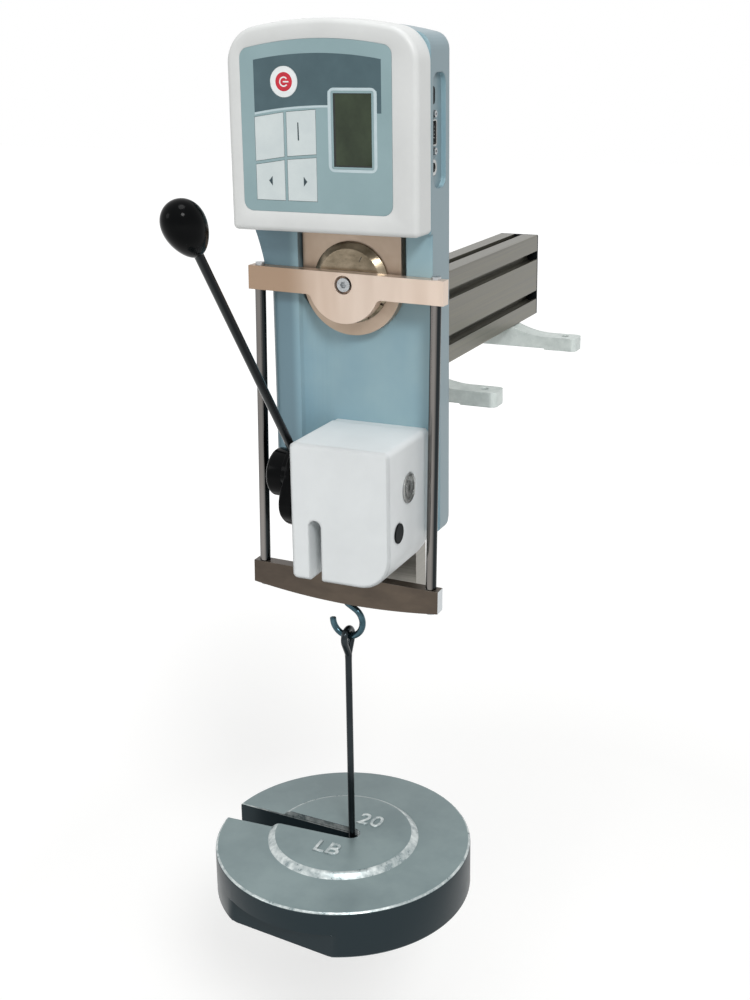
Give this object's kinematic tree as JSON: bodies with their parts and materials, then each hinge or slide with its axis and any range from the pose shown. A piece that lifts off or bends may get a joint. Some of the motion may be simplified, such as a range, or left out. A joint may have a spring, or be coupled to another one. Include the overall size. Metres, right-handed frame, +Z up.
{
  "type": "wire crimp pull tester on a calibration stand",
  "caption": "Digital wire crimp pull tester with lever, terminal disc and yoke, hung on a T-slot calibration beam with a slotted dead weight.",
  "frame": {"origin": "centre of the four bench bolt holes, on the bench plane under the feet", "axes": "+Z up, +Y along the beam away from the operator, +X to the right when facing the console"},
  "size_m": [0.2033, 0.5611, 0.6762],
  "materials": {
    "beam_aluminium": "satin anodised, warm grey",
    "foot_aluminium": "cast, painted-looking light grey",
    "bar_aluminium": "milled",
    "black_plastic": "moulded",
    "dark_steel": "black oxide screws",
    "zinc_steel": "zinc plated",
    "blue_paint": "light blue powder coat",
    "cover_paint": "light blue powder coat",
    "console_plastic": "off-white moulded",
    "block_paint": "off-white powder coat",
    "label_film": "printed polyester film",
    "key_plastic": "satin film over a dome",
    "power_plastic": "red with a white ring",
    "lcd_glass": "olive display window",
    "lcd_body": "display module",
    "circuit_board": "solder mask",
    "switch_plastic": "tact switches",
    "battery_wrap": "shrink wrap",
    "connector_shell": "nickel plated",
    "usb_shell": "plated",
    "cell_aluminium": "machined",
    "stainless": "warm brushed stainless",
    "disc_steel": "polished",
    "lower_bar_steel": "dark brushed",
    "rod_steel": "ground and polished",
    "bronze": "sintered bushing",
    "tool_steel": "hardened, knurled",
    "machined_steel": "machined",
    "gloss_black": "moulded phenolic",
    "hook_steel": "blued round bar",
    "hanger_steel": "plain round bar",
    "weight_paint": "grey painted"
  },
  "bodies": {
    "frame": {"beam": "beam_aluminium", "beam_end_cap": "black_plastic", "front_foot": "foot_aluminium", "rear_foot": "foot_aluminium", "foot_screws": "zinc_steel", "foot_tnuts": "zinc_steel", "mount_bar": "bar_aluminium", "beam_screws": "dark_steel", "tester_screws": "dark_steel", "body_housing": "blue_paint", "back_cover": "cover_paint", "console_bezel": "console_plastic", "console_screws": "zinc_steel", "label_overlay": "label_film", "lcd_window": "lcd_glass", "lcd_module": "lcd_body", "main_board": "circuit_board", "key_switches": "switch_plastic", "battery_pack": "battery_wrap", "connector_board": "circuit_board", "serial_connector": "connector_shell", "jack_screws": "zinc_steel", "usb_port": "usb_shell", "power_jack": "connector_shell", "load_cell": "cell_aluminium", "cell_spacer": "machined_steel", "cell_screws": "dark_steel", "cell_plate": "stainless", "disc_pin": "rod_steel", "grip_base": "block_paint", "base_screws": "dark_steel", "grip_housing": "block_paint", "side_plug": "black_plastic", "shaft_bushings": "bronze", "guide_rods": "rod_steel"},
    "lever": {"lever_hub": "gloss_black", "lever_shaft": "rod_steel", "pinion": "tool_steel", "shaft_end_cap": "connector_shell", "lever_rod": "rod_steel", "lever_knob": "gloss_black"},
    "carriage": {"carriage": "machined_steel", "rack": "tool_steel", "cam_pins": "rod_steel", "cam_springs": "zinc_steel"},
    "cam_left": {"grip_cam_left": "tool_steel"},
    "cam_right": {"grip_cam_right": "tool_steel"},
    "disc": {"terminal_disc": "disc_steel"},
    "yoke": {"yoke_top_bar": "stainless", "yoke_screws": "zinc_steel", "yoke_rods": "rod_steel", "yoke_bottom_bar": "lower_bar_steel", "hook": "hook_steel"},
    "hanger": {"hanger": "hanger_steel"},
    "weight": {"slotted_weight": "weight_paint"},
    "power_button": {"power_key": "power_plastic"},
    "button_upper_left": {"key_upper_left": "key_plastic"},
    "button_upper_right": {"key_upper_right": "key_plastic"},
    "button_lower_left": {"key_lower_left": "key_plastic"},
    "button_lower_right": {"key_lower_right": "key_plastic"}
  },
  "joints": [
    {"name": "lever_turn", "type": "hinge", "parent": "frame", "child": "lever", "pos_m": [0, -0.2342, -0.0317], "axis": [1, 0, 0], "range_deg": [0, 95]},
    {"name": "carriage_slide", "type": "slide", "parent": "frame", "child": "carriage", "axis": [0, 0, -1], "range_m": [0, 0.0266]},
    {"name": "cam_left_turn", "type": "hinge", "parent": "carriage", "child": "cam_left", "pos_m": [-0.0078, -0.225, -0.059], "axis": [0, -1, 0], "range_deg": [-30, 12], "stiffness_Nm_per_rad": 0.03},
    {"name": "cam_right_turn", "type": "hinge", "parent": "carriage", "child": "cam_right", "pos_m": [0.0078, -0.225, -0.059], "axis": [0, 1, 0], "range_deg": [-30, 12], "stiffness_Nm_per_rad": 0.03},
    {"name": "disc_turn", "type": "hinge", "parent": "frame", "child": "disc", "pos_m": [0, -0.207, 0.108], "axis": [0, 1, 0], "continuous": true},
    {"name": "yoke_turn", "type": "hinge", "parent": "frame", "child": "yoke", "pos_m": [0, -0.21465, 0.108], "axis": [0, 1, 0], "range_deg": [-2, 1]},
    {"name": "hanger_swing", "type": "hinge", "parent": "yoke", "child": "hanger", "pos_m": [-0.00372, -0.21465, -0.16448], "axis": [1, 0, 0], "range_deg": [-15, 15]},
    {"name": "weight_lift", "type": "slide", "parent": "hanger", "child": "weight", "axis": [0, 0, 1], "range_m": [0, 0.06]},
    {"name": "power_press", "type": "slide", "parent": "frame", "child": "power_button", "axis": [0, 1, 0], "range_m": [0, 0.0005], "stiffness_N_per_m": 800},
    {"name": "upper_left_press", "type": "slide", "parent": "frame", "child": "button_upper_left", "axis": [0, 1, 0], "range_m": [0, 0.0005], "stiffness_N_per_m": 800},
    {"name": "upper_right_press", "type": "slide", "parent": "frame", "child": "button_upper_right", "axis": [0, 1, 0], "range_m": [0, 0.0005], "stiffness_N_per_m": 800},
    {"name": "lower_left_press", "type": "slide", "parent": "frame", "child": "button_lower_left", "axis": [0, 1, 0], "range_m": [0, 0.0005], "stiffness_N_per_m": 800},
    {"name": "lower_right_press", "type": "slide", "parent": "frame", "child": "button_lower_right", "axis": [0, 1, 0], "range_m": [0, 0.0005], "stiffness_N_per_m": 800}
  ],
  "couplings": [
    {"joint": "carriage_slide", "follows": "lever_turn", "m_per_rad": 0.016}
  ]
}
